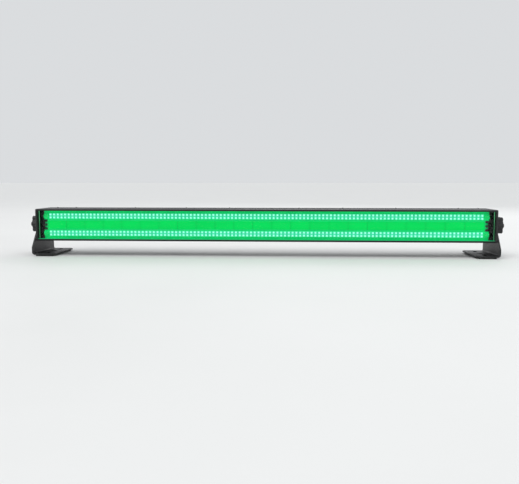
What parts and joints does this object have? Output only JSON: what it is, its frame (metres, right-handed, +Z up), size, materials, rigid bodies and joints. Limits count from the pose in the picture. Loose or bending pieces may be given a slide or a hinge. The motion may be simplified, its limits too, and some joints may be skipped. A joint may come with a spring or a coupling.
{
  "type": "led strip batten",
  "caption": "Metre-long stage light bar: two rows of LED strips either side of a diffused cell row, in a grooved housing on two tilting floor brackets.",
  "frame": {"origin": "on the floor, under the middle of the whole fixture", "axes": "+X along the bar, -Y the way the light shines, +Z up"},
  "size_m": [1.043, 0.12, 0.1035],
  "materials": {
    "housing": "extruded, satin black anodised",
    "cap_aluminium": "fine textured black powder coat",
    "sheet_steel": "fine textured black powder coat",
    "bracket_steel": "fine textured black powder coat, worn at the pivots",
    "cover_clear": "clear polycarbonate",
    "seal_rubber": "matt black",
    "led_board": "white solder mask on aluminium",
    "led_package": "lit green, white package",
    "white_led": "unlit, silicone dome",
    "tray": "white moulded",
    "diffuser": "opal, glowing green from within",
    "circuit_board": "green solder mask with parts",
    "psu_sheet": "zinc-plated",
    "screw_black": "black zinc",
    "screw_zinc": "zinc-plated",
    "brass": "plain",
    "contact": "tin-plated",
    "socket_black": "moulded",
    "socket_metal": "satin nickel",
    "socket_blue": "moulded, blue for mains in",
    "socket_grey": "moulded, pale grey for mains out",
    "panel_black": "fine texture",
    "window_smoke": "smoked red",
    "display": "dark filled face",
    "button": "grey",
    "fuse_glass": "clear",
    "fan_plastic": "moulded",
    "washer": "fibre",
    "knob": "fine texture",
    "pad_rubber": "matt",
    "wire": "insulation"
  },
  "bodies": {
    "housing": {"housing_extrusion": "housing", "rear_cover": "sheet_steel", "rear_cover_screws": "screw_black", "end_cap_right": "cap_aluminium", "end_cap_left": "cap_aluminium", "end_cap_screws": "screw_black", "front_cover": "cover_clear", "seals": "seal_rubber", "rgb_board_upper": "led_board", "rgb_board_lower": "led_board", "rgb_leds_upper": "led_package", "rgb_leds_lower": "led_package", "white_board": "led_board", "white_leds": "white_led", "reflector_tray": "tray", "diffuser_strip": "diffuser", "board_screws": "screw_zinc", "psu_case": "psu_sheet", "psu_board": "circuit_board", "driver_board_right": "circuit_board", "driver_board_left": "circuit_board", "board_standoffs": "brass", "control_board": "circuit_board", "display_module": "display", "control_panel": "panel_black", "display_window": "window_smoke", "data_in_socket": "socket_metal", "data_out_socket": "socket_metal", "data_out_core": "socket_black", "power_in_socket": "socket_blue", "power_out_socket": "socket_grey", "connector_contacts": "contact", "panel_screws": "screw_black", "fuse_holder": "socket_black", "fan_frame_right": "fan_plastic", "fan_frame_left": "fan_plastic", "fan_guards": "sheet_steel", "fan_screws": "screw_black", "safety_eye": "bracket_steel", "pivot_nuts": "screw_zinc", "friction_washers": "washer", "wiring_mains": "wire", "wiring_low_voltage": "wire"},
    "bracket_right": {"bracket_right": "bracket_steel", "foot_pads_right": "pad_rubber"},
    "bracket_left": {"bracket_left": "bracket_steel", "foot_pads_left": "pad_rubber"},
    "knob_right": {"knob_right": "knob", "knob_stud_right": "screw_zinc"},
    "knob_left": {"knob_left": "knob", "knob_stud_left": "screw_zinc"},
    "fan_right": {"fan_rotor_right": "fan_plastic"},
    "fan_left": {"fan_rotor_left": "fan_plastic"},
    "button_mode": {"button_mode": "button"},
    "button_down": {"button_down": "button"},
    "button_up": {"button_up": "button"},
    "button_enter": {"button_enter": "button"},
    "data_latch": {"data_out_latch": "socket_black"},
    "fuse": {"fuse_cartridge": "fuse_glass"},
    "fuse_cap": {"fuse_cap": "socket_black"}
  },
  "joints": [
    {"name": "tilt_right", "type": "hinge", "parent": "housing", "child": "bracket_right", "pos_m": [0.5025, 0, 0.068], "axis": [1, 0, 0], "range_deg": [-90, 90]},
    {"name": "tilt_left", "type": "hinge", "parent": "housing", "child": "bracket_left", "pos_m": [-0.5025, 0, 0.068], "axis": [1, 0, 0], "range_deg": [-90, 90]},
    {"name": "knob_right_turn", "type": "hinge", "parent": "housing", "child": "knob_right", "pos_m": [0.5125, 0, 0.068], "axis": [1, 0, 0], "range_deg": [0, 180]},
    {"name": "knob_left_turn", "type": "hinge", "parent": "housing", "child": "knob_left", "pos_m": [-0.5125, 0, 0.068], "axis": [-1, 0, 0], "range_deg": [0, 180]},
    {"name": "fan_right_spin", "type": "hinge", "parent": "housing", "child": "fan_right", "pos_m": [0.25, 0.037, 0.068], "axis": [0, 1, 0], "continuous": true},
    {"name": "fan_left_spin", "type": "hinge", "parent": "housing", "child": "fan_left", "pos_m": [-0.25, 0.037, 0.068], "axis": [0, 1, 0], "continuous": true},
    {"name": "press_mode", "type": "slide", "parent": "housing", "child": "button_mode", "axis": [0, -1, 0], "range_m": [0, 0.0008], "stiffness_N_per_m": 900},
    {"name": "press_down", "type": "slide", "parent": "housing", "child": "button_down", "axis": [0, -1, 0], "range_m": [0, 0.0008], "stiffness_N_per_m": 900},
    {"name": "press_up", "type": "slide", "parent": "housing", "child": "button_up", "axis": [0, -1, 0], "range_m": [0, 0.0008], "stiffness_N_per_m": 900},
    {"name": "press_enter", "type": "slide", "parent": "housing", "child": "button_enter", "axis": [0, -1, 0], "range_m": [0, 0.0008], "stiffness_N_per_m": 900},
    {"name": "press_data_latch", "type": "slide", "parent": "housing", "child": "data_latch", "axis": [0, -1, 0], "range_m": [0, 0.0012], "stiffness_N_per_m": 700},
    {"name": "fuse_pull", "type": "slide", "parent": "housing", "child": "fuse", "axis": [0, 1, 0], "range_m": [0, 0.032]},
    {"name": "fuse_cap_turn", "type": "hinge", "parent": "fuse", "child": "fuse_cap", "pos_m": [0.352, 0.05, 0.068], "axis": [0, 1, 0], "range_deg": [0, 45]}
  ]
}
